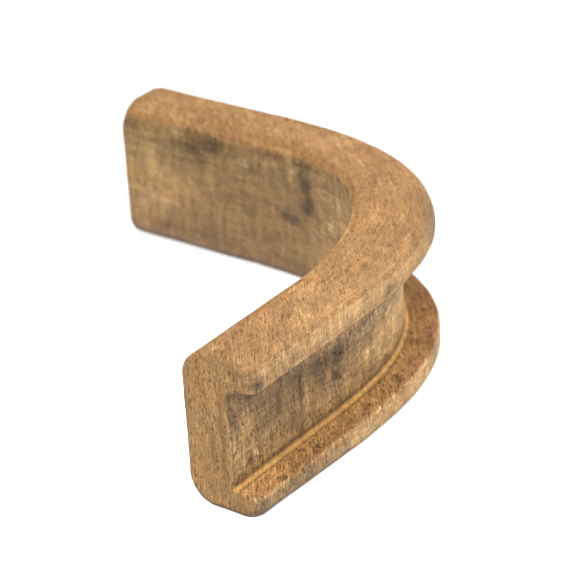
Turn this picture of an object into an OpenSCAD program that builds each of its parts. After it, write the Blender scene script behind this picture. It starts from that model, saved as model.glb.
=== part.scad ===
// Carved wooden yoke bow: one block of timber cut to a right-angle bow of
// channel section. The channel opens on the outside of the bend, where a rope
// or strap lies; the smooth inside of the bend bears on what is held.
//
// Frame: +Z up, millimetres. The bow stands on its lower flange on z = 0. The
// origin is on the underside at the middle of the bend, directly below the
// channel floor. +X points out of the bend, the two legs run back towards -X,
// and the bow is mirrored across the XZ plane.

/* [Section] */
// Height of the section, underside to top
section_h = 60; // [50:1:70]
// Web thickness in the legs, inside face to channel floor
web_t = 19.3; // [17:0.1:22]
// Inside face to the edge of the upper flange
upper_w = 30.5; // [29:0.1:34]
// Inside face to the edge of the lower flange
lower_w = 31; // [29:0.1:34]
// Upper flange thickness where it leaves the web
upper_root_t = 12.8; // [10:0.1:14]
// Upper flange thickness at its edge
upper_edge_t = 11.2; // [10:0.1:13]
// Lower flange thickness where it leaves the web
lower_root_t = 9.8; // [9:0.1:12]
// Lower flange thickness at its edge
lower_edge_t = 9.4; // [8.5:0.1:12]

/* [Worn edges] */
// Radius of the inside face's upper edge, in the legs
inside_top_r = 11.6; // [6:0.1:13]
// Radius of the same edge at the middle of the bend, where it is crisper
inside_top_bend_r = 4; // [3:0.1:12]
// Radius of the inside face's lower edge
inside_low_r = 10.4; // [6:0.1:13]
// Radius along the top of the upper flange's edge
upper_r = 8.8; // [4:0.1:9]
// Radius along the bottom of the lower flange's edge, at the sawn ends
lower_r = 6.6; // [2:0.1:7]
// Radius of the same edge round the bend; it tapers along each leg
lower_bend_r = 2.8; // [2:0.1:7]
// Radius of the two channel lips
lip_r = 1.2; // [0.8:0.1:2]
// Radius in the two corners of the channel floor
root_r = 1.4; // [0.8:0.1:3]
// Rounding of the upright corners where a flange edge meets a sawn end
corner_r = 3.2; // [2:0.1:5]
// Softening all round each sawn end
end_r = 0.7; // [0.4:0.1:1.4]

/* [Bend] */
// Angle between the two legs' directions
bend_angle = 90; // [60:1:120]
// Radius of the reference line at the middle of the bend, where it is tightest
bend_r = 52.6; // [45:0.1:80]
// Share of the bend over which each side eases into its straight leg
bend_ease = 0.45; // [0.2:0.01:0.49]
// Straight length of each leg
leg_l = 56.6; // [20:0.1:120]
// Extra wood on the inside face at the middle of the bend
swell_in = 0.8; // [0:0.1:4]
// Extra channel depth at the middle of the bend
channel_in = 1.8; // [0:0.1:3]

/* [Fineness] */
// Sections drawn along half of the bend
n_bend = 16; // [8:1:24]
// Steps in each large rounding
n_arc = 6; // [4:1:8]

/* [Hidden] */

n_small = 3; // steps in each lip and channel corner
n_end = 4;   // steps in each rounding at a sawn end

// Lengths along the reference line
bend_l = bend_angle * PI / 180 * bend_r / (1 - bend_ease);
ease_l = bend_l * bend_ease;
even_l = bend_l - 2 * ease_l;
half_l = bend_l / 2 + leg_l;

// Inside face line to channel floor at the middle of the bend
floor_x = web_t - channel_in;

// Flange edge radii, held to what the flange is thick enough to carry
edge_flat = 0.1; // least flat left between a flange edge's two roundings
function held_r(radius, thick) = min(radius, thick - lip_r - end_r - edge_flat);
upper_held_r = held_r(upper_r, upper_edge_t);
lower_held_r = held_r(lower_r, lower_edge_t);
lower_bend_held_r = held_r(lower_bend_r, lower_edge_t);

// Timber blank: wood left over on every side, and its length and depth
blank_over = 5;
blank_y = 2 * half_l + 2 * blank_over;
blank_x = half_l + web_t + blank_over;

// ---- the reference line, measured by s along it from the middle of the bend

// Heading at s, in degrees: an even arc, then an easing to the straight leg
function heading(s) =
    let (eased = min(max(s - even_l / 2, 0), ease_l))
    (min(s, even_l / 2) + eased - eased * eased / (2 * ease_l)) / bend_r * 180 / PI;

// Stations: even steps through the bend, one long step for the straight leg,
// then close steps over the last few millimetres for the rounded end
end_dists = concat(
    [for (i = [0:n_end]) corner_r - (corner_r - end_r) * sin(i * 90 / n_end)],
    [for (i = [1:n_end]) end_r * (1 - sin(i * 90 / n_end))]);
stations = concat(
    [for (i = [0:n_bend]) bend_l / 2 * i / n_bend],
    [for (dist = end_dists) half_l - dist]);
n_stations = len(stations);

// Points of the line, stepped from the middle outwards by Simpson's rule
function line_step(from, to) =
    let (mid = (from + to) / 2, sixth = (to - from) / 6)
    [-sixth * (sin(heading(from)) + 4 * sin(heading(mid)) + sin(heading(to))),
     sixth * (cos(heading(from)) + 4 * cos(heading(mid)) + cos(heading(to)))];
line_xy = [for (i = 0, point = [0, 0];
                i < n_stations;
                i = i + 1,
                point = i < n_stations
                    ? point + line_step(stations[i - 1], stations[i])
                    : point)
           point];

// ---- the section, as points [across from the inside face, up]

function arc(centre, radius, from, to, steps) =
    [for (i = [0:steps])
        let (angle = from + (to - from) * i / steps)
        [centre[0] + radius * cos(angle), centre[1] + radius * sin(angle)]];

// Set-back at a distance from a sawn end, for a rounding of the given radius
function set_back(dist, radius) =
    dist >= radius ? 0 : radius - sqrt(radius * radius - (radius - dist) * (radius - dist));

// The section at s: eight roundings, from the inside face's lower edge up,
// over the upper flange, into the channel and out round the lower flange
function section(s) =
    let (swell = s < bend_l / 2 ? (1 + cos(360 * s / bend_l)) / 2 : 0, // 1 at mid bend
         dist = half_l - s,
         soft = set_back(dist, end_r),
         corner = max(set_back(dist, corner_r), soft),
         // Across: inside face, channel floor and flange edges
         inside = -swell_in * swell + soft,
         floor_u = web_t - channel_in * swell - soft,
         upper_u = upper_w - corner,
         lower_u = lower_w - corner,
         // Up: underside, top and the channel's sides
         bottom = soft,
         top = section_h - soft,
         upper_root_z = section_h - upper_root_t + soft,
         upper_edge_z = section_h - upper_edge_t + soft,
         lower_root_z = lower_root_t - soft,
         lower_edge_z = lower_edge_t - soft,
         // Radii, smaller by the softening on outer edges, larger in the channel
         low_r = inside_low_r - soft,
         top_r = inside_top_r + (inside_top_bend_r - inside_top_r) * swell - soft,
         up_r = upper_held_r - soft,
         under_r = lower_held_r
             + (lower_bend_held_r - lower_held_r) * min(dist / leg_l, 1) - soft,
         floor_r = root_r + soft)
    concat(
        arc([inside + low_r, bottom + low_r], low_r, 270, 180, n_arc),
        arc([inside + top_r, top - top_r], top_r, 180, 90, n_arc),
        arc([upper_u - up_r, top - up_r], up_r, 90, 0, n_arc),
        arc([upper_u - lip_r, upper_edge_z + lip_r], lip_r, 0, -90, n_small),
        arc([floor_u + floor_r, upper_root_z - floor_r], floor_r, 90, 180, n_small),
        arc([floor_u + floor_r, lower_root_z + floor_r], floor_r, 180, 270, n_small),
        arc([lower_u - lip_r, lower_edge_z - lip_r], lip_r, 90, 0, n_small),
        arc([lower_u - under_r, bottom + under_r], under_r, 0, -90, n_arc));

// ---- the solid: sections joined from one sawn end round to the other

// The section at station i; side is 1 for the +Y leg and -1 for the -Y leg
function ring(i, side) =
    let (angle = heading(stations[i]), base = line_xy[i])
    [for (point = section(stations[i]))
        [base[0] + point[0] * cos(angle) - floor_x,
         side * (base[1] + point[0] * sin(angle)),
         point[1]]];
rings = concat(
    [for (i = [n_stations - 1:-1:0]) ring(i, -1)],
    [for (i = [1:n_stations - 1]) ring(i, 1)]);
n_rings = len(rings);
n_ring = 4 * (n_arc + 1) + 4 * (n_small + 1); // points in a ring

// Places in a ring: the last point of the inside face's upper edge, then the
// first points of the channel's two corners and of the lower lip
web_top = 2 * n_arc + 1;
upper_root = web_top + 1 + (n_arc + 1) + (n_small + 1);
lower_root = upper_root + n_small + 1;
lower_lip = lower_root + n_small + 1;

// A sawn end as convex pieces: the web, each flange, and each channel corner
end_pieces = concat(
    [[for (i = [0:web_top]) i, upper_root + n_small, lower_root]],
    [[for (i = [web_top:upper_root]) if (i != web_top + 0.5) i]],
    [[0, for (i = [lower_lip - 1:n_ring - 1]) i]],
    [for (i = [0:n_small - 1]) [web_top, upper_root + i, upper_root + i + 1]],
    [for (i = [0:n_small - 1]) [0, lower_root + i, lower_root + i + 1]]);
function flipped(face) = [for (i = [len(face) - 1:-1:0]) face[i]];

module swept_bow() {
    sides = [for (j = [0:n_rings - 2]) for (i = [0:n_ring - 1])
        let (next = (i + 1) % n_ring)
        [j * n_ring + i, (j + 1) * n_ring + i, (j + 1) * n_ring + next, j * n_ring + next]];
    far_end = [for (face = end_pieces)
        flipped([for (i = face) (n_rings - 1) * n_ring + i])];
    polyhedron(
        points = [for (points = rings) each points],
        faces = concat(sides, end_pieces, far_end),
        convexity = 8);
}

// The bow, cut from a timber blank that leaves an allowance all round
module yoke_bow() {
    color([0.74, 0.54, 0.34])
    intersection() {
        swept_bow();
        translate([-blank_x, -blank_y / 2, -blank_over])
            cube([blank_x + lower_w + blank_over, blank_y, section_h + 2 * blank_over]);
    }
}

yoke_bow();
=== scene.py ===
"""Carved wooden yoke bow: one solid timber bent through a right angle and worn by use.

The bow rests on Z = 0 and is symmetric about Y = 0. The middle of its bend faces +X and its two
legs run back towards -X, ending in sawn faces. The inside face looks to the bend's centre; the
outside has a channel between an upper and a lower flange. The section is swept along the
channel's line in millimetres. "Along" is distance on that line from the middle of the bend,
positive towards +Y; "round" is distance round the section, from the base up the inside face,
over the top and back down the channel side.
"""

import math

import bpy
import numpy as np
from mathutils import Matrix, Vector
from mathutils.geometry import delaunay_2d_cdt


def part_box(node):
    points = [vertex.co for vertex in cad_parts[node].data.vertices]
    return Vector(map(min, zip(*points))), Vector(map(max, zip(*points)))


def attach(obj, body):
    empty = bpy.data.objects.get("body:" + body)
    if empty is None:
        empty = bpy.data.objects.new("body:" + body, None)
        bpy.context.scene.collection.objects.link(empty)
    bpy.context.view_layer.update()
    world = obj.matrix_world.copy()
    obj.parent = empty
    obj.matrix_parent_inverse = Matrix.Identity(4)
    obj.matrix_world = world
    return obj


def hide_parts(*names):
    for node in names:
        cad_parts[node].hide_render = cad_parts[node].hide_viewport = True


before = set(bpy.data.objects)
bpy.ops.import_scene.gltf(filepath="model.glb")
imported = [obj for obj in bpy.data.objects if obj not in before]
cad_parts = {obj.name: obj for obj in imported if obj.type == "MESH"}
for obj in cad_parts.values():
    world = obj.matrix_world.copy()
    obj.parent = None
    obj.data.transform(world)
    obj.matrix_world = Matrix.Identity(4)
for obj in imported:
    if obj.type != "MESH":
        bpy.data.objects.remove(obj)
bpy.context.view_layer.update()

# ---------------------------------------------------------------- dimensions, in millimetres
HEIGHT = 60.0
WEB = 19.3  # inside face to channel floor
UPPER_WIDTH, LOWER_WIDTH = 30.5, 31.0  # inside face to flange tips
UPPER_ROOT, UPPER_EDGE = 12.8, 11.2  # upper flange's thickness at the web and at its tip
LOWER_ROOT, LOWER_EDGE = 9.8, 9.4
R_INSIDE_TOP, R_INSIDE_TOP_BEND = 11.6, 4.0  # on the legs, and at the middle of the bend
R_INSIDE_LOW = 10.4
R_UPPER = 8.8  # top of the upper flange's tip
R_LOWER, R_LOWER_BEND = 6.6, 2.8  # bottom of the lower flange's tip, at the ends and in the bend
R_LIP, R_ROOT = 1.2, 1.4  # channel's mouth and channel's corners
R_CORNER, R_END = 3.2, 0.7  # flange corners at the ends, and the sawn faces' rims

BEND_ANGLE, BEND_RADIUS = math.radians(90.0), 52.6
EASE = 0.45  # share of the bend at each end over which the curvature fades
LEG = 56.6
SWELL, CHANNEL = 0.8, 1.8  # at mid bend: inside face bulges out, channel cuts deeper
BEND_LENGTH = BEND_ANGLE * BEND_RADIUS / (1 - EASE)
EASE_LENGTH = BEND_LENGTH * EASE
EVEN_LENGTH = BEND_LENGTH - 2 * EASE_LENGTH
HALF_LENGTH = BEND_LENGTH / 2 + LEG
LINE_X = WEB - CHANNEL  # inside face to the channel floor at mid bend

STEP = 0.76  # between sections
END_STEPS = [0, 0.04, 0.12, 0.25, 0.45, 0.7, 1.0, 1.35, 1.75, 2.2, 2.7, 3.2]  # from a sawn end
CAP_GRID, CAP_MARGIN = 0.92, 0.45  # points on the sawn faces, and their gap from the rim
CAP_ROUND = 300  # "round" on the sawn faces starts here

# Runs round the section in order, then the sawn faces.
(LOW_EDGE, INSIDE, TOP_EDGE, TOP, TIP_ROUND, TIP, LIP_UP, UNDER, ROOT_UP, FLOOR, ROOT_LOW,
 SHELF, LIP_LOW, TIP_LOW, LOW_ROUND, BASE, SAWN) = range(17)
COUNTS = (20, 50, 22, 14, 18, 2, 5, 10, 5, 46, 8, 20, 5, 4, 11, 18)  # samples in each run
# Samples across the shelf (the lower flange's upper face), crowded beside its root.
SHELF_AT = tuple(t / 9.1 for t in (
    0, .2, .38, .52, .66, .8, .94, 1.08, 1.24, 1.45, 1.75, 2.2, 2.8, 3.5, 4.3, 5.1, 5.9, 6.8,
    7.6, 8.4, 9.1))


# ---------------------------------------------------------------- swept mesh
def heading(station):
    """Heading of the line, in radians from +Y towards -X."""
    away = np.abs(station)
    eased = np.clip(away - EVEN_LENGTH / 2, 0, EASE_LENGTH)
    turned = np.minimum(away, EVEN_LENGTH / 2) + eased - eased * eased / (2 * EASE_LENGTH)
    return np.sign(station) * turned / BEND_RADIUS


def integrate_line():
    """Fine stations along the +Y half of the line, with their x and y."""
    fine = np.linspace(0, HALF_LENGTH, 8001)
    turns = heading(fine)
    middle = (turns[1:] + turns[:-1]) / 2
    pitch = fine[1] - fine[0]
    x = np.concatenate([[0], np.cumsum(-np.sin(middle) * pitch)])
    y = np.concatenate([[0], np.cumsum(np.cos(middle) * pitch)])
    return fine, x, y


LINE = integrate_line()


def place(outline, station):
    """Points in the frame for (across, up) points of the section at a station."""
    turn = float(heading(station))
    fine, line_x, line_y = LINE
    x = np.interp(abs(station), fine, line_x)
    y = np.sign(station) * np.interp(abs(station), fine, line_y)
    across, up = outline.T
    return np.stack([x + across * math.cos(turn) - LINE_X, y + across * math.sin(turn), up], 1)


def set_back(gap, radius):
    """How far a rounded edge lies back at a gap from the end."""
    if gap >= radius:
        return 0.0
    return radius - math.sqrt(max(radius * radius - (radius - gap) ** 2, 0.0))


def arc(count, x, z, radius, start, end):
    angle = np.radians(start + (end - start) * np.arange(count) / count)
    return np.stack([x + radius * np.cos(angle), z + radius * np.sin(angle)], 1)


def line(count, start, end, crowd=None):
    t = np.arange(count) / count
    if crowd is not None:
        t = np.interp(t, np.linspace(0, 1, len(crowd)), crowd)
    return np.asarray(start)[None] * (1 - t[:, None]) + np.asarray(end)[None] * t[:, None]


def section(station, upper_root=UPPER_ROOT, r_lower_bend=R_LOWER_BEND):
    """Outline at a station as (across from the inside face, up)."""
    station = abs(station)
    in_bend = station < BEND_LENGTH / 2
    bulge = (1 + math.cos(2 * math.pi * station / BEND_LENGTH)) / 2 if in_bend else 0.0
    gap = HALF_LENGTH - station
    end = set_back(gap, R_END)
    corner = max(set_back(gap, R_CORNER), end)
    inside, web = -SWELL * bulge + end, WEB - CHANNEL * bulge - end
    upper, lower = UPPER_WIDTH - corner, LOWER_WIDTH - corner
    base, top = end, HEIGHT - end
    under, under_edge = HEIGHT - upper_root + end, HEIGHT - UPPER_EDGE + end
    shelf, shelf_edge = LOWER_ROOT - end, LOWER_EDGE - end
    r_low = R_INSIDE_LOW - end
    r_top = R_INSIDE_TOP - (R_INSIDE_TOP - R_INSIDE_TOP_BEND) * bulge - end
    r_upper = R_UPPER - end
    r_lower = R_LOWER + (r_lower_bend - R_LOWER) * min(max(gap / LEG, 0), 1) - end
    r_root = R_ROOT + end
    runs = (
        (arc, inside + r_low, base + r_low, r_low, 270, 180),
        (line, (inside, base + r_low), (inside, top - r_top)),
        (arc, inside + r_top, top - r_top, r_top, 180, 90),
        (line, (inside + r_top, top), (upper - r_upper, top)),
        (arc, upper - r_upper, top - r_upper, r_upper, 90, 0),
        (line, (upper, top - r_upper), (upper, under_edge + R_LIP)),
        (arc, upper - R_LIP, under_edge + R_LIP, R_LIP, 0, -90),
        (line, (upper - R_LIP, under_edge), (web + r_root, under)),
        (arc, web + r_root, under - r_root, r_root, 90, 180),
        (line, (web, under - r_root), (web, shelf + r_root)),
        (arc, web + r_root, shelf + r_root, r_root, 180, 270),
        (line, (web + r_root, shelf), (lower - R_LIP, shelf_edge), SHELF_AT),
        (arc, lower - R_LIP, shelf_edge - R_LIP, R_LIP, 90, 0),
        (line, (lower, shelf_edge - R_LIP), (lower, base + r_lower)),
        (arc, lower - r_lower, base + r_lower, r_lower, 0, -90),
        (line, (lower - r_lower, base), (inside + r_low, base)),
    )
    return np.concatenate([make(count, *args) for (make, *args), count in zip(runs, COUNTS)])


def inside_loop(points, loop, margin):
    """Which points lie inside a closed loop and at least margin from it."""
    start, end = loop, np.roll(loop, -1, 0)
    side = end - start
    x, z = points[:, 0][:, None], points[:, 1][:, None]
    rise = np.where(end[:, 1] == start[:, 1], 1e-12, side[:, 1])
    crossed = ((start[:, 1] > z) != (end[:, 1] > z)) & (
        x < side[:, 0] * (z - start[:, 1]) / rise + start[:, 0])
    t = ((points[:, None] - start) * side).sum(-1) / (side * side).sum(-1)
    nearest = start + np.clip(t, 0, 1)[..., None] * side
    gap = np.linalg.norm(points[:, None] - nearest, axis=-1).min(1)
    return (crossed.sum(1) % 2 == 1) & (gap > margin)


def cap_mesh():
    """Points inside a sawn face as (across, up), and triangles over the rim then those points."""
    rim = section(HALF_LENGTH)
    low, high = rim.min(0), rim.max(0)
    across, up = np.meshgrid(*(np.arange(low[k] + 0.4, high[k], CAP_GRID) for k in (0, 1)))
    across[1::2] += CAP_GRID / 2
    points = np.stack([across.ravel(), up.ravel()], 1)
    points = points[inside_loop(points, rim, CAP_MARGIN)]
    corners = [Vector(c) for c in rim] + [Vector(c) for c in points]
    out = delaunay_2d_cdt(corners, [], [list(range(len(rim)))], 1, 1e-7)
    return points, np.array([list(face) for face in out[2]])


def build_bow():
    """Vertices, quads and cap triangles, then each vertex's along, round, region, (across, up)."""
    last = END_STEPS[-1]
    count = int(round((HALF_LENGTH - last) * 2 / STEP))
    stations = np.concatenate([
        [-(HALF_LENGTH - d) for d in END_STEPS[:-1]],
        np.linspace(-(HALF_LENGTH - last), HALF_LENGTH - last, count + 1),
        [HALF_LENGTH - d for d in END_STEPS[:-1]][::-1],
    ])
    # "Round" is measured on this plain section of a leg.
    plain = section(HALF_LENGTH - 30, upper_root=10.8, r_lower_bend=R_LOWER)
    sides = np.hypot(*(np.roll(plain, -1, axis=0) - plain).T)
    distance_round = np.concatenate([[0], np.cumsum(sides)[:-1]])

    outlines = [section(s) for s in stations]
    points = [place(outline, s) for outline, s in zip(outlines, stations)]
    across_up = list(outlines)
    total, ring_size = len(stations), sum(COUNTS)
    rings = np.arange(total * ring_size).reshape(total, ring_size)
    a, b = rings[:-1], rings[1:]
    quads = np.stack([a, np.roll(a, -1, 1), np.roll(b, -1, 1), b], -1).reshape(-1, 4)
    along = [np.repeat(stations, ring_size)]
    around = [np.tile(distance_round, total)]
    region = [np.tile(np.repeat(np.arange(SAWN), COUNTS), total)]

    caps = []
    first = rings.size
    cap_points, cap_faces = cap_mesh()
    size = len(cap_points)
    for side, ring in ((-1, rings[0]), (1, rings[-1])):
        points.append(place(cap_points, side * HALF_LENGTH))
        across_up.append(cap_points)
        faces = np.concatenate([ring, first + np.arange(size)])[cap_faces]
        caps.append(faces[:, ::-1] if side > 0 else faces)
        first += size
        along.append(np.full(size, side * HALF_LENGTH))
        around.append(CAP_ROUND + cap_points[:, 0])
        region.append(np.full(size, SAWN))
    lists = (caps, along, around, region, across_up)
    return np.concatenate(points), quads, *(np.concatenate(parts) for parts in lists)


def vertex_normals(points, faces):
    """Area-weighted vertex normals, from triangles."""
    a, b, c = (points[faces[:, k]] for k in range(3))
    normal = np.cross(b - a, c - a)
    out = np.zeros_like(points)
    for k in range(3):
        np.add.at(out, faces[:, k], normal)
    return out / np.maximum(np.linalg.norm(out, axis=1), 1e-12)[:, None]


plain_points, quads, caps, along, around, region, across_up = build_bow()
triangles = np.concatenate([quads[:, [0, 1, 2]], quads[:, [0, 2, 3]], caps])
normals = vertex_normals(plain_points, triangles)
swept_box = np.array([plain_points.min(0), plain_points.max(0)]) / 1000
drift = np.abs(swept_box - np.array(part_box("yoke_bow"))).max()
assert drift < 0.0006, f"the swept bow is {drift * 1000:.2f} mm off the CAD box"
across, up = across_up.T
on_end = region == SAWN
end_gap = HALF_LENGTH - np.abs(along)  # distance along from the nearer sawn end


# ---------------------------------------------------------------- noise and soft shapes
def hashed(x, y, z, seed):
    x, y, z = (cell.astype(np.int64) for cell in (x, y, z))
    bits = (x * 374761393 + y * 668265263 + z * 2147483647 + seed * 1274126177) & 0xFFFFFFFF
    bits = ((bits ^ (bits >> 13)) * 1274126177) & 0xFFFFFFFF
    bits = ((bits ^ (bits >> 16)) * 2246822519) & 0xFFFFFFFF
    return (bits ^ (bits >> 15)) & 0xFFFFFFFF


def noise(points, seed):
    """Smooth gradient noise in about -1 to 1."""
    cell = np.floor(points).astype(np.int64)
    part = points - cell
    weight = part * part * part * (part * (part * 6 - 15) + 10)
    total = np.zeros(len(points))
    for corner in np.ndindex(2, 2, 2):
        bits = hashed(*(cell[:, k] + corner[k] for k in range(3)), seed)
        angle = (bits & 0xFFFF) / 65536.0 * 2 * math.pi
        rise = ((bits >> 16) & 0xFFFF) / 65536.0 * 2 - 1
        flat = np.sqrt(1 - rise * rise)
        gradient = np.stack([flat * np.cos(angle), flat * np.sin(angle), rise], 1)
        term = ((part - np.array(corner)) * gradient).sum(1)
        for k in range(3):
            term = term * np.abs(1 - corner[k] - weight[:, k])
        total += term
    return total * 1.6


def ripple(depth, cell, seed):
    return depth * noise(plain_points / cell, seed)


def path_noise(x, y, seed):
    return noise(np.stack([x, y, np.zeros(len(x))], 1), seed)


def patchy(cell, seed, bias, most):
    """Uneven wear between 0 and most."""
    return np.clip(noise(plain_points / cell, seed) + bias, 0, most)


def smooth(start, end, x):
    t = np.clip((x - start) / (end - start), 0, 1)
    return t * t * (3 - 2 * t)


def bell(offset, width):
    return np.exp(-(offset / width) ** 2)


FALLOFF = 1.4  # how fast a soft oval fades


def patch(at_round, at_along, size_round, size_along, sharp=1.0):
    """A soft oval on the swept surface, 1 in the middle."""
    reach = np.hypot((around - at_round) / size_round, (along - at_along) / size_along)
    return np.where(on_end, 0, np.exp(-(reach ** 2) * FALLOFF * sharp))


def on(*regions):
    return np.isin(region, regions)


# ---------------------------------------------------------------- wear and tool marks
# Nicks and dents: round, along, size round, size along, depth.
DENTS = (
    (94.5, -128.6, 2.4, 2.4, 0.55), (96.5, -125.5, 1.6, 1.9, 0.40), (98, -117, 1.2, 1.6, 0.45),
    (98, -92, 1.1, 2.6, 0.40), (97, -63, 1.3, 1.8, 0.45), (98, -38, 1.1, 2.2, 0.35),
    (90, -51, 2.0, 1.4, 0.25), (141, -122, 1.7, 1.9, 0.45), (134, -72, 3.2, 2.6, 0.35),
    (157, -117, 1.5, 1.6, 0.45), (155, -94, 1.5, 1.7, 0.40), (154, -84, 1.3, 1.4, 0.35),
    (155, -63, 1.6, 1.7, 0.35), (155, -45, 1.6, 2.2, 0.40), (159, -107, 1.1, 2.4, 0.50),
    (159, -71, 1.0, 1.8, 0.40), (159, -29, 1.1, 2.2, 0.40), (161, -129.5, 1.8, 1.8, 0.45),
    (57, 84, 3.0, 2.6, 0.35), (44, 33, 3.4, 2.2, 0.35), (38, 48, 2.6, 3.0, 0.30),
    (79, -114, 1.3, 4.0, 0.22), (83, -55, 1.3, 2.0, 0.25), (98, 22, 1.1, 2.0, 0.40),
    (98, 61, 1.2, 2.6, 0.45), (97, 104, 1.4, 2.0, 0.50), (159, 18, 1.1, 2.0, 0.40),
    (159, 66, 1.1, 2.6, 0.50), (160, 111, 1.4, 1.8, 0.45), (126, 40, 3.0, 2.4, 0.30),
    (135, 88, 2.4, 2.2, 0.35), (154, 76, 1.5, 2.0, 0.35), (8, -90, 2.4, 3.0, 0.35),
    (6, 70, 2.2, 2.6, 0.35), (168, -60, 1.8, 2.6, 0.35), (167, 96, 1.8, 2.4, 0.40),
    (30, -70, 3.2, 2.6, 0.28), (40, -112, 2.6, 2.2, 0.30), (180, 10, 3.4, 3.0, 0.30),
    (178, -96, 2.6, 3.4, 0.30),
)

move = (ripple(depth=0.08, cell=26, seed=1) + ripple(depth=0.05, cell=10, seed=2)
        + ripple(depth=0.03, cell=4.2, seed=3))
# Spokeshave flats, deeper on the rounded edges, and cutter marks on the channel floor.
rounded = on(TOP_EDGE, TIP_ROUND, LOW_EDGE, LOW_ROUND)
move += np.where(rounded, 0.10, 0.04) * path_noise(along / 26, around / 4.6, seed=4)
cutter = path_noise((along + 0.3 * around) / 15, around / 3.2, seed=5)
move += np.where(on(FLOOR), 0.07, 0.0) * cutter
# Arrises worn unevenly: the lips, the tips and the rims of the sawn ends.
lips = on(LIP_UP, LIP_LOW, TIP, TIP_LOW)
move -= np.where(lips, 0.13, 0) * patchy(cell=9, seed=6, bias=0.35, most=1.4)
rim = np.where(on_end, 0, bell(end_gap, 1.6))
move -= rim * 0.16 * patchy(cell=6.5, seed=7, bias=0.3, most=1.3)
move -= rim * np.where(on(TOP, TIP_ROUND, TIP), 0.12, 0)
# A line cut beside the shelf's root, deepest at the ends, with a slight ridge next to it.
root_gap = across - (WEB + R_ROOT)
fade = 0.35 + 0.65 * smooth(25, 95, np.abs(along)) + ripple(depth=0.3, cell=14, seed=8)
fade = np.clip(fade, 0.1, 1.2)
groove = np.where(on(SHELF), bell(root_gap - 0.72, 0.22), 0)
move -= groove * 0.36 * fade
move += np.where(on(SHELF), bell(root_gap - 0.20, 0.35), 0) * 0.10
for *oval, depth in DENTS:
    move -= depth * patch(*oval, sharp=1.6)
# The saw's ripple on the sawn faces.
saw_at = np.stack([across / 7, up / 2.6, np.sign(along) * 9], 1)
move = np.where(on_end, 0.05 * noise(saw_at, 9), move)
# The resting face is never raised.
resting = on(BASE) | (on(LOW_EDGE, LOW_ROUND) & (up < 0.6))
move = np.where(resting, np.minimum(move, 0) * 0.5, move)
worn = plain_points + normals * move[:, None]
worn = np.clip(worn, plain_points.min(0), plain_points.max(0))

mesh = bpy.data.meshes.new("carved_yoke_bow")
mesh.from_pydata((worn / 1000).tolist(), [], quads.tolist() + caps.tolist())
mesh.update()
mesh.polygons.foreach_set("use_smooth", np.ones(len(mesh.polygons), bool))
bow = bpy.data.objects.new("carved_yoke_bow", mesh)
bpy.context.scene.collection.objects.link(bow)

# ---------------------------------------------------------------- tones, painted shade and highlight, stains and marks
# Base tone: round, then red, green and blue as linear colour in thousandths.
# Painted shade in the base tone: the dark rows at round 0 to 10.6 and from 164 on, where the bottom
# roundings turn under; 99.6 to 117, under the upper flange; and 145.9 to 146.9 and 149.9, in the
# channel's lower corner beside the root fillet.
TONES = np.array((
    (0, 106, 66, 36), (10.6, 106, 64, 34), (12.6, 210, 119, 52), (20, 246, 143, 60),
    (30, 272, 155, 60), (42, 258, 149, 57), (51, 244, 143, 55), (59.5, 240, 138, 53),
    (61.6, 262, 146, 55), (63.2, 345, 176, 60), (69, 338, 175, 61), (75, 350, 182, 67),
    (85, 345, 180, 65), (90.2, 372, 196, 71), (91.2, 410, 236, 94), (94, 392, 228, 92),
    (97, 325, 184, 70), (98.6, 315, 165, 56), (99.6, 210, 116, 48), (109, 138, 80, 36),
    (112, 158, 94, 41), (117, 222, 129, 53), (128, 242, 138, 53), (136, 284, 164, 63),
    (145.2, 302, 174, 67), (145.9, 225, 128, 50), (146.9, 185, 104, 42), (147.6, 330, 180, 64),
    # painted highlight: the bright rows at round 148.2 to 149.4 along the shelf's root fillet
    (148.2, 600, 328, 94), (149.0, 680, 366, 102), (149.4, 480, 252, 78), (149.9, 370, 192, 62),
    (150.7, 430, 220, 70), (154, 382, 197, 65), (157, 305, 148, 50), (158.6, 325, 165, 54),
    (160, 290, 162, 62), (162.4, 280, 168, 68), (164, 200, 120, 48), (165.6, 120, 74, 34),
    (166.6, 130, 82, 45), (187, 115, 73, 42),
))
END_TONE = (0.288, 0.155, 0.053)
# The next tables hold soft ovals: round, along, size round, size along, strength.
# Broad patches lighter (+) or darker (-) than their band. Among them (117, -118) is painted shade
# below the upper flange's end, (165, -98) painted shade along the lower tip's underside, and (149.8,
# -90) brightens the painted highlight on the shelf's root fillet.
SHADE = (
    (48, 13, 6, 16, 0.40), (37, 36, 8, 12, -0.20), (36, 66, 14, 16, -0.12),
    (54, 90, 8, 12, -0.18), (44, 116, 12, 12, 0.15), (33, 114, 8, 8, 0.12),
    (15, 55, 5, 18, -0.10), (62, 44, 3, 14, 0.22), (63, -36, 3.5, 36, 0.50),
    (68.5, -58, 4, 16, 0.22), (73, 92, 12, 26, -0.17), (87, -6, 4, 14, -0.28),
    (78, -71, 8, 10, 0.10), (94, -15, 6, 17, -0.62), (87, -22, 4, 14, -0.18),
    (88, 84, 4, 34, -0.30), (117, -118, 6, 12, -0.25), (118.5, -70, 3, 30, 0.22),
    (125, -76, 4.5, 34, -0.24), (131, -70, 4, 8, 0.15), (139, -26, 9, 16, 0.30),
    (131, -28, 5, 14, 0.15), (141, -92, 6, 18, -0.16), (149.6, -30, 2, 20, -0.22),
    (149.8, -90, 1.4, 12, 0.2), (152.5, -84, 3, 9, 0.25), (159.5, -105, 2.5, 28, -0.17),
    (162, -118, 2.5, 12, -0.12), (161.5, -40, 3, 22, 0.26), (165, -98, 2.6, 30, -0.30),
    (159, -22, 1.6, 8, -0.2), (159, 2, 3, 10, -0.45),
)
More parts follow.
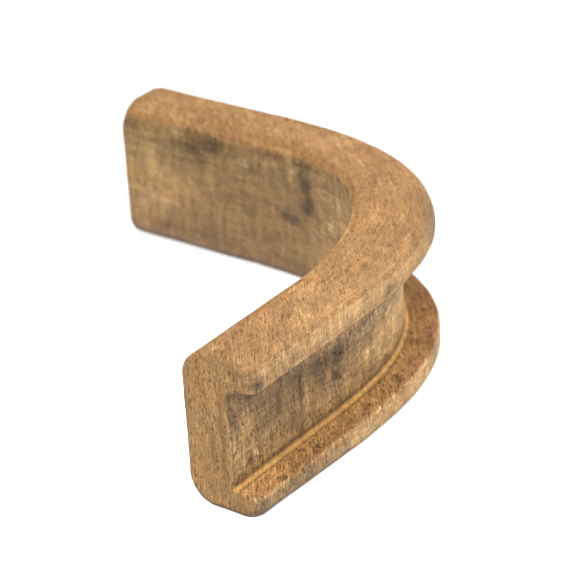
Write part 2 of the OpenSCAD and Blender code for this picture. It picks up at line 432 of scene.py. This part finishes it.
# Stains, except (113, -120), which is painted shade in the channel's corner under the upper flange's
# end.
STAIN_AND_SHADE = (
    (58, 86, 4.5, 9, 1.0), (55, 98, 5, 11, 0.85), (61, 92, 3, 16, 0.6), (50, 92, 6, 9, 0.5),
    (57, 74, 3.5, 10, 0.5), (60, 58, 3, 16, 0.6), (60, 40, 4, 8, 0.8), (50, 37.5, 8, 7, 0.8),
    (42, 37, 6, 6, 0.9), (36, 46, 4, 7, 0.8), (39, 56, 4, 9, 0.35), (50, 62, 9, 14, 0.35),
    (40, 76, 10, 14, 0.28), (33, 60, 5, 18, 0.35), (24, 60, 7, 20, 0.4), (18, 92, 5, 24, 0.45),
    (28, 88, 6, 8, 0.3), (47, 18, 12, 5, 0.35), (60, 12, 2.5, 14, 0.5), (33, 30, 10, 5, 0.3),
    (94.5, -129, 5, 4.5, 0.75), (94, -120, 4, 7, 0.45), (95, -108, 3, 6, 0.5),
    (96, -53, 3, 6, 0.5), (79, -116, 3, 9, 0.45), (83, -120, 5, 4, 0.4), (83, -55, 3, 3.5, 0.45),
    (87, -66, 3, 4, 0.3), (74, -32, 6, 12, 0.25), (85, -38, 5, 8, 0.25), (80, -100, 6, 8, 0.25),
    (76, -46, 3, 3, 0.3), (75, -60, 4, 2.5, 0.3), (113, -120, 5, 12, 0.6),
    (117, -104, 6, 8, 0.6), (129, -113, 14, 2.2, 0.6), (130, -105, 14, 2.6, 0.75),
    (132, -98, 12, 1.8, 0.6), (129, -92, 14, 3.0, 0.7), (133, -85, 11, 1.8, 0.6),
    (127, -79, 12, 2.2, 0.8), (130, -71, 9, 4.5, 1.0), (123, -84, 5, 24, 0.85),
    (122, -56, 4, 12, 0.6), (124, -60, 8, 2.0, 0.5), (120, -44, 4, 14, 0.5),
    (141, -122, 2.6, 3.0, 0.9), (139, -100, 5, 7, 0.45), (142, -88, 3, 5, 0.4),
    (157, -117, 1.6, 2.2, 0.9), (153, -120, 1.4, 3.0, 0.6), (151.5, -99, 1.4, 2.6, 0.8),
    (155, -94, 2.0, 2.6, 0.85), (153, -88, 1.6, 2.4, 0.6), (154.5, -84, 1.8, 2.4, 0.8),
    (156, -76, 1.4, 2.6, 0.6), (155, -63, 2.2, 2.6, 0.8), (153.5, -58, 1.4, 2.0, 0.6),
    (155, -45, 2.4, 4.0, 0.9), (154, -33, 2.0, 4, 0.6), (156, -15, 2.2, 5, 0.6),
    (152, -22, 3, 6, 0.5), (153, 4, 6, 24, 0.6), (98, 44, 4, 9, 0.5), (94, 92, 5, 8, 0.4),
    (88, 64, 5, 9, 0.3), (120, 30, 9, 9, 0.5), (132, 62, 12, 5, 0.6), (116, 96, 7, 18, 0.7),
    (136, 104, 8, 7, 0.5), (126, 80, 12, 5, 0.45), (155, 40, 2.6, 4, 0.8), (153, 72, 2.4, 3, 0.7),
    (156, 101, 2.8, 4, 0.8), (152, 119, 3, 5, 0.5), (30, -60, 9, 8, 0.5), (45, -92, 7, 9, 0.5),
    (18, -104, 6, 16, 0.4), (56, -46, 5, 8, 0.35), (36, -20, 8, 9, 0.4), (176, -70, 9, 14, 0.4),
    (180, 40, 9, 12, 0.4), (5, 100, 7, 9, 0.4), (4, -40, 7, 14, 0.35), (168, 20, 5, 12, 0.35),
)
GREY = (
    (57, 38, 6, 3.6, 0.7), (49, 37.5, 6, 4.0, 0.8), (41.5, 36.5, 4.5, 5.0, 0.9),
    (38, 54, 2.4, 5, 0.35), (36, 48, 2.8, 5, 0.7), (35, 44, 3.2, 3.6, 1.0), (57, 84, 3, 4, 0.55),
    (54, 96, 3, 7, 0.5), (97, -128, 3.5, 3, 0.7), (91, -116, 1.6, 3, 0.5),
    (134, -72, 4, 3.2, 1.0), (124, -70, 6, 5, 0.6), (161, -130, 3, 3, 0.6),
    (161, -116, 2, 6, 0.7), (162, -104, 3, 11, 0.6), (96, -53, 2.5, 3, 0.5), (52, 66, 6, 9, 0.3),
    (118, -92, 5, 14, 0.5), (96, 84, 3, 4, 0.6), (130, 74, 5, 5, 0.8), (161, 60, 3, 9, 0.5),
    (42, -74, 6, 4, 0.6), (172, -20, 6, 9, 0.5),
)
PALE = (
    (132, -34, 16, 16, 1.0), (138, -52, 7, 12, 0.6), (139, -81, 4, 5, 0.3),
    (137, -96, 5, 3, 0.35), (95, -84, 3.5, 26, 0.35), (162, -66, 4, 22, 1.0),
    (38, 114, 24, 14, 1.0), (30, 120, 15, 9, 0.9), (42, 101, 10, 5, 0.6), (56, 71, 2.6, 4, 0.7),
    (52, 52, 3, 7, 0.35), (47, 10, 14, 9, 0.22), (36, 20, 5, 9, 0.2), (78, -80, 6, 16, 0.5),
    (91, -100, 5, 14, 0.35), (150, -127, 5, 5, 0.4), (140, -128, 6, 4, 0.25),
    (98, 70, 5, 22, 0.6), (132, 36, 14, 14, 0.6), (162, 40, 4, 24, 0.7), (46, -110, 12, 12, 0.5),
    (158, 4, 2, 18, 0.35), (94, -100, 3, 12, 0.4),
)
RED = (
    (77, -127, 6, 4, 0.6), (83, -108, 5, 6, 0.5), (90.4, -91, 1.6, 12, 0.6),
    (90.4, -73, 1.6, 10, 0.6), (91, -53, 1.6, 12, 0.7), (91, -30, 1.6, 12, 0.5),
    (66, -100, 6, 12, 0.6), (66, -74, 5, 10, 0.45), (66, -46, 5, 12, 0.4), (74, -14, 8, 14, 0.35),
    (78, 30, 7, 16, 0.3), (66, 60, 5, 20, 0.5), (67, 90, 4, 20, 0.5), (18, 110, 4, 18, 0.7),
    (16, 66, 4, 24, 0.6), (153, -104, 4, 14, 0.4), (153, -56, 4, 16, 0.5), (154, -18, 5, 20, 0.6),
    (92, 40, 2, 18, 0.5), (153, 60, 4, 18, 0.5),
)
# Ovals on the sawn faces: across, up, size across, size up, strength.
END_STAIN = (
    (15.5, 28, 1.9, 28, 0.85), (11.5, 22, 1.5, 22, 0.6), (24, 55.5, 6, 3, 0.7),
    (9, 46, 2, 8, 0.3), (28, 51, 3.4, 3.0, 0.75), (15, 8, 5, 3, 0.3), (3, 20, 2, 14, 0.2),
)
END_PALE = ((5, 30, 3, 22, 0.35), (8.5, 36, 2, 16, 0.25))
# Strength of open pores, tool scratches and smears: round, strength.
PORES = (
    (0, 0.8), (16, 0.8), (50, 0.9), (60, 1.0), (78, 1.0), (88, 1.0), (97, 0.9), (112, 1.25),
    (146.4, 1.2), (147.2, 0.45), (149.4, 0.45), (150.2, 1.4), (157, 1.5), (162, 1.1), (187, 0.9),
)
SCRATCHES = (
    (0, 0.6), (16, 0.9), (52, 1.1), (66, 0.6), (78, 0.65), (88, 0.75), (91.5, 0.45), (98, 0.45),
    (112, 0.65), (146, 0.65), (147.4, 0.3), (158, 0.4), (162, 0.9), (187, 0.6),
)
MOTTLE = (
    (0, 1.0), (16, 1.3), (52, 1.5), (64, 0.7), (78, 0.6), (92, 0.6), (112, 2.0), (144, 1.7),
    (150, 0.9), (160, 0.9), (187, 1.0),
)


def marks(rows):
    out = np.zeros(len(along))
    for *oval, strength in rows:
        out = np.maximum(out, strength * patch(*oval))
    return out


def with_end_marks(values, rows):
    for at_across, at_up, wide, tall, strength in rows:
        reach = ((across - at_across) / wide) ** 2 + ((up - at_up) / tall) ** 2
        oval = strength * np.exp(-FALLOFF * reach)
        values = np.maximum(values, np.where(on_end, oval, 0))
    return values


def profile(rows):
    return np.interp(around, *np.transpose(rows))


tint = np.stack([np.interp(around, TONES[:, 0], TONES[:, k] / 1000) for k in (1, 2, 3)], 1)
tint[on_end] = END_TONE
tint *= np.exp(sum(strength * patch(*oval) for *oval, strength in SHADE))[:, None]
# A thin dark line runs beside the sawn ends in the channel.
end_line = np.where(on(FLOOR, ROOT_UP), bell(end_gap - 0.5, 0.26) * 0.7, 0)
stain_and_shade = with_end_marks(np.maximum(marks(STAIN_AND_SHADE), end_line), END_STAIN)
pale = with_end_marks(marks(PALE), END_PALE)
pores, scratches, mottle = profile(PORES), profile(SCRATCHES), profile(MOTTLE)
scratches *= 1 + 1.9 * patch(132, -42, 20, 24) + 0.8 * patch(34, 22, 22, 20)
pores *= 1 - 0.40 * on(INSIDE, LOW_EDGE) * smooth(-10, 60, along)
pores *= 1.0 - 0.28 * bell(along + 10, 60) * on(TOP_EDGE, TOP, TIP_ROUND)
pores[on_end], scratches[on_end], mottle[on_end] = 1.02, 0.15, 0.35
# A row of torn pores where the flat top turns over to the flange's tip.
torn_row = np.where(on_end, 0, bell(around - 90.9, 0.75))
# Lips, tips and end rims are rubbed lighter, except at one dented corner.
spared = 1 - np.clip(1.2 * patch(94, -131, 8, 6), 0, 1)
rub = np.where(on(LIP_LOW, LIP_UP), 1.0, 0) + np.where(on(TIP, TIP_LOW), 0.2, 0)
rub = np.clip(rub + 0.5 * rim * spared, 0, 1)

for name, values in (
        ("run", along), ("round", around), ("stain_and_shade", stain_and_shade), ("grey", marks(GREY)),
        ("pale", pale), ("red", marks(RED)), ("pores", pores), ("scratches", scratches),
        ("rub", rub), ("mottle", mottle), ("row", torn_row), ("groove_shade", groove * fade)):
    layer = mesh.attributes.new(name, "FLOAT", "POINT")
    layer.data.foreach_set("value", np.asarray(values, np.float32))
rgba = np.concatenate([tint, np.ones((len(tint), 1))], 1).astype(np.float32)
mesh.attributes.new("tint", "FLOAT_COLOR", "POINT").data.foreach_set("color", rgba.ravel())


# ---------------------------------------------------------------- timber
class Net:
    """Short names for building a node tree."""

    def __init__(self, material):
        self.links = material.node_tree.links
        self.nodes = material.node_tree.nodes

    def put(self, socket, value):
        if isinstance(value, bpy.types.NodeSocket):
            self.links.new(value, socket)
        else:
            socket.default_value = value

    def node(self, kind, *values, **settings):
        """A node with its settings made and its first inputs filled."""
        node = self.nodes.new("ShaderNode" + kind)
        for name, setting in settings.items():
            setattr(node, name, setting)
        for socket, value in zip(node.inputs, values):
            self.put(socket, value)
        return node

    def math(self, operation, a, b=0.0):
        return self.node("Math", a, b, operation=operation).outputs[0]

    def add(self, *terms):
        out = terms[0]
        for term in terms[1:]:
            out = self.math("ADD", out, term)
        return out

    def mul(self, *terms):
        out = terms[0]
        for term in terms[1:]:
            out = self.math("MULTIPLY", out, term)
        return out

    def ramp(self, value, start, end, low=0.0, high=1.0):
        return self.node("MapRange", value, start, end, low, high,
                         interpolation_type="SMOOTHSTEP").outputs[0]

    def attr(self, name, out="Fac"):
        return self.node("Attribute", attribute_name=name).outputs[out]

    def xyz(self, x, y, z):
        return self.node("CombineXYZ", x, y, z).outputs[0]

    def vector(self, operation, a, b):
        return self.node("VectorMath", a, b, operation=operation).outputs[0]

    def noise(self, vector, detail, rough, shift):
        texture = self.node("TexNoise", noise_dimensions="3D")
        if shift:
            vector = self.vector("ADD", vector, (shift * 17.3, shift * 9.1, shift * 5.7))
        for name, value in (("Vector", vector), ("Scale", 1.0), ("Detail", detail),
                            ("Roughness", rough)):
            self.put(texture.inputs[name], value)
        return texture.outputs[0]

    def mix(self, factor, a, b, kind="MIX"):
        mix = self.node("Mix", factor, data_type="RGBA", blend_type=kind)
        self.put(mix.inputs[6], a)
        self.put(mix.inputs[7], b)
        return mix.outputs[2]


# Noise fields: cell size along three axes in mm, detail, roughness, shift apart from the others.
NOISES = {
    "drift": (30, 45, 40, 2, 0.55, 0), "waver": (9, 14, 12, 1, 0.55, 0),
    "fine": (0.60, 9.5, 3.6, 2, 0.6, 0), "finer": (0.42, 2.6, 1.5, 1, 0.5, 1),
    "middling": (2.1, 19, 9, 2, 0.55, 2), "band": (7.5, 85, 60, 2, 0.5, 3),
    "hatch": (0.62, 14.0, 6.0, 1, 0.5, 4), "hatch_on": (13, 16, 13, 2, 0.6, 5),
    "pore": (0.55, 3.4, 1.9, 1, 0.5, 6), "speck": (0.8, 0.95, 0.8, 1, 0.5, 7),
    "speck_on": (8, 8, 8, 2, 0.6, 8), "blot": (7, 9, 8, 4, 0.62, 9),
    "big": (24, 34, 24, 2, 0.5, 10), "torn": (1.3, 5, 3.5, 3, 0.65, 13),
    "grit": (0.55, 0.7, 0.55, 1, 0.5, 14),
}
# The same on the surface: cell size along and round, the slice's place, then as above.
SURFACE_NOISES = {
    "streak": (5.5, 0.66, 7, 2, 0.6, 18), "lengthwise": (17, 0.62, 3, 1, 0.5, 0),
    "slant": (13, 0.85, 9, 1, 0.5, 11), "where": (16, 9, 5, 2, 0.6, 12),
    "row": (1.15, 0.9, 2, 1, 0.5, 15), "smear": (3.4, 13, 4, 3, 0.6, 16),
    "long_smear": (19, 2.2, 6, 3, 0.6, 17),
}
# Each mark's wash: attribute, ramp start and end, strength, multiplying colour.
WASHES = (
    ("pale", 0.1, 1.0, 0.60, (1.32, 1.36, 1.42, 1)), ("red", 0.16, 0.80, 0.55, (0.86, 0.70, 0.58, 1)),
    ("stain_and_shade", 0.08, 0.92, 0.84, (0.46, 0.44, 0.46, 1)),
    ("grey", 0.06, 0.95, 0.85, (0.40, 0.46, 0.62, 1)),
)
# Colours for the painted shade in the cut beside the shelf's root, and for the rubbed edges.
GROOVE_SHADE_COLOUR, RUB_COLOUR = (0.36, 0.30, 0.30, 1), (1.25, 1.25, 1.28, 1)
# Red, green and blue: response to fine tone, and to broad tone.
RESPONSE = ((0.86, 1.0), (1.06, 1.0), (1.38, 0.9))


def timber(material):
    """Open-pored wood, its grain a solid field. A number beside a term is its strength."""
    material.use_nodes = True
    net = Net(material)
    add, mul, ramp, attr, mix = net.add, net.mul, net.ramp, net.attr, net.mix
    position = net.node("TexCoord").outputs["Object"]
    solid = net.vector("MULTIPLY", position, (1000, 1000, 1000))  # millimetres
    x, y, z = net.node("SeparateXYZ", solid).outputs
    run, rnd = attr("run"), attr("round")

    def centred(field, strength):
        return mul(net.math("SUBTRACT", field, 0.5), strength)

    def field(name, space=solid):
        *size, detail, rough, shift = NOISES[name]
        scaled = net.vector("MULTIPLY", space, tuple(1 / cell for cell in size))
        return net.noise(scaled, detail, rough, shift)

    def surface(name, lengthwise=run, crosswise=rnd):
        length, width, level, *rest = SURFACE_NOISES[name]
        at = net.xyz(mul(lengthwise, 1 / length), mul(crosswise, 1 / width), level)
        return net.noise(at, *rest)

    def above(limit):
        return net.math("GREATER_THAN", rnd, limit)

    def below(limit):
        return net.math("LESS_THAN", rnd, limit)

    def between(low, high):
        return mul(above(low), below(high))

    def wash(colour, amount, by):
        return mix(amount, colour, mix(1.0, colour, by, "MULTIPLY"))

    # The grain runs along Y and bends a little; its layers stand upright.
    wave = add(centred(field("drift"), 5.0), centred(field("waver"), 0.7))
    grain = net.xyz(add(x, mul(y, -0.02), mul(y, y, 0.00045), wave), y, z)
    fine, finer = field("fine", grain), field("finer", grain)
    # Streaks on the flanges' tips, and on the inside face and channel floor round the bend.
    lean = add(mul(below(54.5), -0.55), mul(between(108.8, 147.5), 0.30), -0.02)
    away = net.math("ABSOLUTE", run)
    tips = mul(add(between(87.0, 99.3), above(159.4)), ramp(away, start=118, end=80))
    faces = mul(add(between(16, 54.5), between(108.8, 147.0)), ramp(away, start=72, end=34))
    side_on = add(tips, faces)
    streak = surface("streak", crosswise=add(rnd, mul(run, lean)))
    fine = add(fine, mul(side_on, net.math("SUBTRACT", streak, fine), 0.8))
    middling, band = field("middling", grain), field("band", grain)
    hatch = ramp(field("hatch", grain), start=0.54, end=0.61)
    hatch_on = ramp(field("hatch_on"), start=0.42, end=0.60)
    pore = mul(ramp(field("pore", grain), start=0.585, end=0.66), add(1.0, mul(side_on, -0.6)))
    speck = mul(ramp(field("speck"), start=0.62, end=0.72),
                ramp(field("speck_on"), start=0.44, end=0.60))
    blot, big = field("blot"), field("big")

    # Tool scratches lie lengthwise, some at a slant.
    lengthwise = surface("lengthwise", add(run, mul(rnd, 0.08)), add(rnd, mul(run, -0.03)))
    slant = surface("slant", crosswise=add(rnd, mul(run, lean)))
    where = surface("where")
    light = mul(ramp(slant, start=0.56, end=0.70), ramp(where, start=0.46, end=0.60))
    light = net.math("MAXIMUM", light, mul(ramp(lengthwise, start=0.56, end=0.70),
                                           ramp(where, start=0.56, end=0.42)))
    dark = mul(ramp(lengthwise, start=0.44, end=0.32), ramp(where, start=0.38, end=0.58))

    # Fine tone: grain, hatching, pores, specks and scratches.
    on_shelf = between(149.4, 158.6)
    pores_at, scratches_at = attr("pores"), attr("scratches")
    fine_tone = mul(pores_at, add(
        centred(fine, 1.0), centred(finer, 0.8), centred(field("grit"), 0.85),
        mul(hatch, hatch_on, add(mul(on_shelf, -0.24), 0.34)), mul(pore, -0.62),
        mul(speck, add(mul(on_shelf, -0.5), -0.75)), 0.10))
    row = mul(attr("row"), ramp(surface("row"), start=0.44, end=0.58))
    scratch_tone = mul(scratches_at, add(mul(light, 0.42), mul(dark, -0.36)))
    fine_tone = add(fine_tone, scratch_tone, mul(row, -0.55))
    # Broad tone: bands, blots and smears.
    smear, long_smear = surface("smear"), surface("long_smear")
    calm = ramp(attr("mottle"), start=0.2, end=0.9, low=0.58, high=1.0)
    broad_tone = add(
        mul(calm, add(centred(middling, 0.65), centred(band, 0.35), centred(blot, 0.75),
                      centred(big, 0.5))),
        mul(attr("mottle"), add(centred(smear, 0.85), centred(long_smear, 0.60))))
    channels = [
        net.math("POWER", 2.71828, add(mul(fine_tone, by_fine), mul(broad_tone, by_broad)))
        for by_fine, by_broad in RESPONSE]
    tone = net.node("CombineColor", *channels).outputs[0]
    colour = mix(1.0, attr("tint", "Color"), tone, "MULTIPLY")

    # Stains and marks, one of them painted shade, with borders that break up along the grain.
    torn = add(centred(blot, 1.3), centred(field("torn", grain), 1.5), centred(fine, 0.6))
    rubbed = mul(attr("rub"), ramp(blot, start=0.36, end=0.6))
    for name, start, end, strength, by in WASHES:
        frayed = mul(torn, net.math("MINIMUM", mul(attr(name), 3.0), 0.75))
        edge = ramp(add(attr(name), frayed), start, end)
        colour = wash(colour, mul(edge, strength), by)
    # The cut beside the shelf's root is darkened: painted shade in the groove.
    groove_shade = mul(attr("groove_shade"), ramp(finer, start=0.62, end=0.38, low=0.55, high=0.95))
    colour = wash(colour, groove_shade, GROOVE_SHADE_COLOUR)
    colour = wash(colour, mul(rubbed, 0.45), RUB_COLOUR)

    shader = net.nodes["Principled BSDF"]
    net.put(shader.inputs["Base Color"], colour)
    roughness = add(0.70, centred(blot, 0.25), mul(pore, 0.12), mul(rubbed, -0.10))
    net.put(shader.inputs["Roughness"], roughness)
    shader.inputs["Specular IOR Level"].default_value = 0.32
    height = add(
        centred(fine, 0.9), centred(finer, 0.5), mul(pore, pores_at, -0.9), mul(speck, -0.5),
        mul(scratches_at, dark, -0.5), mul(scratches_at, light, 0.35), centred(middling, 0.8))
    bump = net.node("Bump")
    for name, value in (("Strength", 0.55), ("Distance", 0.00022), ("Height", height)):
        net.put(bump.inputs[name], value)
    net.put(shader.inputs["Normal"], bump.outputs[0])


wood = bpy.data.materials.new("open_pored_hardwood")
timber(wood)
mesh.materials.append(wood)

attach(bow, "root")
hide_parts("yoke_bow")

# ---------------------------------------------------------------- floor and light, in metres
FLOOR_HALF, FLOOR_Z = 3, -0.0003
LIGHT_SIZE, LIGHT_DISTANCE = 1.0, 1.5
LIGHT_AIM = Vector((-0.03, 0, 0.03))
# Soft boxes: bearing from +X and height angle in degrees, watts.
SOFTBOXES = ((0, 89, 13.0), (0, 40, 15.5), (45, 40, 4.0), (225, 40, 11.0))

floor_mesh = bpy.data.meshes.new("floor")
corners = [(x * FLOOR_HALF, y * FLOOR_HALF, FLOOR_Z) for x, y in ((-1, -1), (1, -1), (1, 1), (-1, 1))]
floor_mesh.from_pydata(corners, [], [(0, 1, 2, 3)])
floor = bpy.data.objects.new("floor", floor_mesh)
bpy.context.scene.collection.objects.link(floor)
paper = bpy.data.materials.new("white_paper")
paper.use_nodes = True
for name, value in (
        ("Base Color", (0.58, 0.58, 0.58, 1)), ("Roughness", 1.0), ("Specular IOR Level", 0.0),
        ("Emission Color", (1, 1, 1, 1)), ("Emission Strength", 0.88)):
    paper.node_tree.nodes["Principled BSDF"].inputs[name].default_value = value
floor_mesh.materials.append(paper)

world = bpy.data.worlds.new("studio")
bpy.context.scene.world = world
world.use_nodes = True
background = world.node_tree.nodes["Background"]
background.inputs["Color"].default_value = (1, 1, 1, 1)
background.inputs["Strength"].default_value = 0.22

for bearing, rise, watts in SOFTBOXES:
    bearing, rise = math.radians(bearing), math.radians(rise)
    lamp = bpy.data.lights.new("softbox", "AREA")
    lamp.shape, lamp.size, lamp.energy = "SQUARE", LIGHT_SIZE, watts
    softbox = bpy.data.objects.new("softbox", lamp)
    softbox.location = at = Vector((
        LIGHT_DISTANCE * math.cos(rise) * math.cos(bearing),
        LIGHT_DISTANCE * math.cos(rise) * math.sin(bearing), LIGHT_DISTANCE * math.sin(rise)))
    softbox.rotation_euler = (LIGHT_AIM - at).to_track_quat("-Z", "Y").to_euler()
    bpy.context.scene.collection.objects.link(softbox)

# ---------------------------------------------------------------- camera, in metres
AZIMUTH, ELEVATION, ROLL = (math.radians(a) for a in (-7.319, 27.494, -3.630))  # from -Y
CAMERA_DISTANCE = 0.9131725
CAMERA_AIM = Vector((-0.044908, -0.015168, HEIGHT / 2000))
LENS, SENSOR = 153.809609, 36  # millimetres
FOCUS_DISTANCE = 0.842

back = Vector((math.sin(AZIMUTH) * math.cos(ELEVATION), -math.cos(AZIMUTH) * math.cos(ELEVATION),
               math.sin(ELEVATION)))
level = Vector((math.cos(AZIMUTH), math.sin(AZIMUTH), 0))
upright = back.cross(level)
right = level * math.cos(ROLL) + upright * math.sin(ROLL)
top = upright * math.cos(ROLL) - level * math.sin(ROLL)
camera_data = bpy.data.cameras.new("camera")
camera = bpy.data.objects.new("camera", camera_data)
bpy.context.scene.collection.objects.link(camera)
columns = [v.to_4d() for v in (right, top, back, CAMERA_AIM + back * CAMERA_DISTANCE)]
for column in columns[:3]:
    column.w = 0
camera.matrix_world = Matrix(columns).transposed()
camera_data.sensor_width = SENSOR
camera_data.lens = LENS
camera_data.clip_start, camera_data.clip_end = 0.05, 20

# The focus stays between the bow's middle and the camera, wherever the camera stands.
middle = bpy.data.objects.new("bow_middle", None)
middle.location = (-0.04, 0, 0.03)
focus = bpy.data.objects.new("focus_point", None)
for empty in (middle, focus):
    bpy.context.scene.collection.objects.link(empty)
focus.constraints.new("COPY_LOCATION").target = camera
hold = focus.constraints.new("LIMIT_DISTANCE")
hold.target, hold.limit_mode = middle, "LIMITDIST_ONSURFACE"
to_middle = camera.matrix_world.translation - middle.location
hold.distance = to_middle.length - FOCUS_DISTANCE
camera_data.dof.use_dof = True
camera_data.dof.focus_object = focus
camera_data.dof.aperture_fstop = 17.0
bpy.context.scene.camera = camera
bpy.context.scene.view_settings.view_transform = "Standard"
